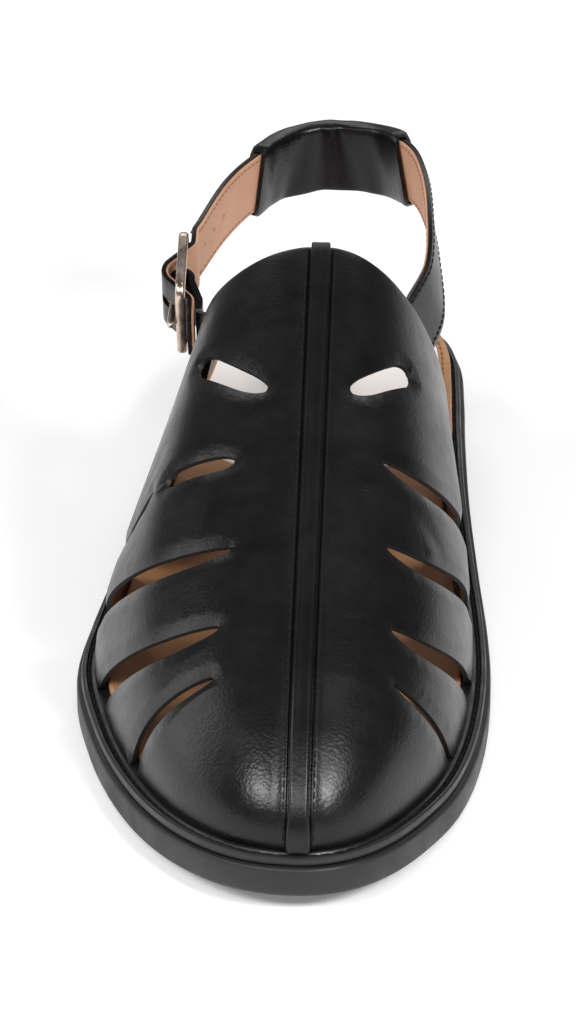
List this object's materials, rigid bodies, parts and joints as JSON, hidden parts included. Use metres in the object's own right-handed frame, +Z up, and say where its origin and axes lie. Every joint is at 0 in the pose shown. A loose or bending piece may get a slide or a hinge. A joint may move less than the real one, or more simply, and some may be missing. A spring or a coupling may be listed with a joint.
{
  "type": "fisherman sandal",
  "caption": "Right slingback fisherman sandal: slotted closed-toe leather upper with a centre strip, buckled heel sling, welted rubber sole and low block heel",
  "frame": {"origin": "centre of the bounding box at floor level", "axes": "+Y from toe to heel, +X to the inner side of the foot, +Z up"},
  "size_m": [0.1042, 0.272, 0.1019],
  "materials": {
    "upper": "smooth black calf leather, soft sheen",
    "centre_strip": "smooth black calf leather, soft sheen",
    "sling_strap": "black leather, tan lining inside",
    "heel_sleeve": "soft black leather, lightly creased",
    "chape": "black leather",
    "buckle": "warm nickel, satin",
    "insole": "tan lining leather, matt",
    "welt": "black welt, matt",
    "outsole": "black rubber, matt",
    "heel": "black rubber, matt",
    "heel_lift": "black rubber, matt"
  },
  "bodies": {
    "root": {"upper": "upper", "centre_strip": "centre_strip", "sling_strap": "sling_strap", "heel_sleeve": "heel_sleeve", "chape": "chape", "buckle_frame": "buckle", "buckle_prong": "buckle", "insole": "insole", "welt": "welt", "outsole": "outsole", "heel_block": "heel", "heel_lift": "heel_lift"}
  },
  "joints": []
}
